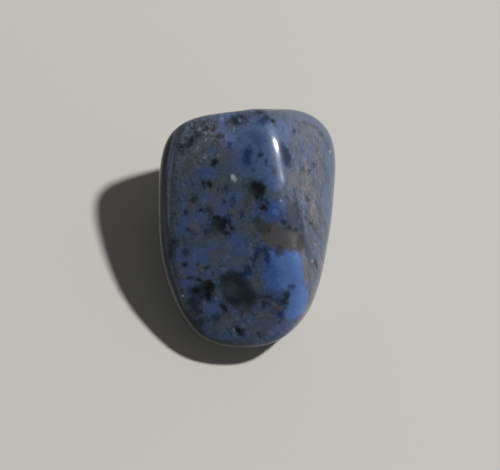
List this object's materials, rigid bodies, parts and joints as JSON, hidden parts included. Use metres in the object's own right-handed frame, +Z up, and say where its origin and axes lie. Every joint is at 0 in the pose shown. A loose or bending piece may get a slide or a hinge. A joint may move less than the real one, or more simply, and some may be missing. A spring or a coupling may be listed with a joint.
{
  "type": "tumbled dumortierite pebble",
  "caption": "Wedge-shaped tumbled dumortierite stone with rounded edges and a steep side facet, resting on a flat spot on its underside.",
  "frame": {"origin": "on the table, under the middle of the stone's length and width", "axes": "+X to the viewer's right, +Y away from the viewer along the stone's length towards its thick end, +Z up from the surface it rests on"},
  "size_m": [0.0208, 0.0278, 0.0132],
  "materials": {
    "polished_dumortierite": "tumble polished, mottled grey blue with darker and brown patches"
  },
  "bodies": {
    "root": {"stone": "polished_dumortierite"}
  },
  "joints": []
}
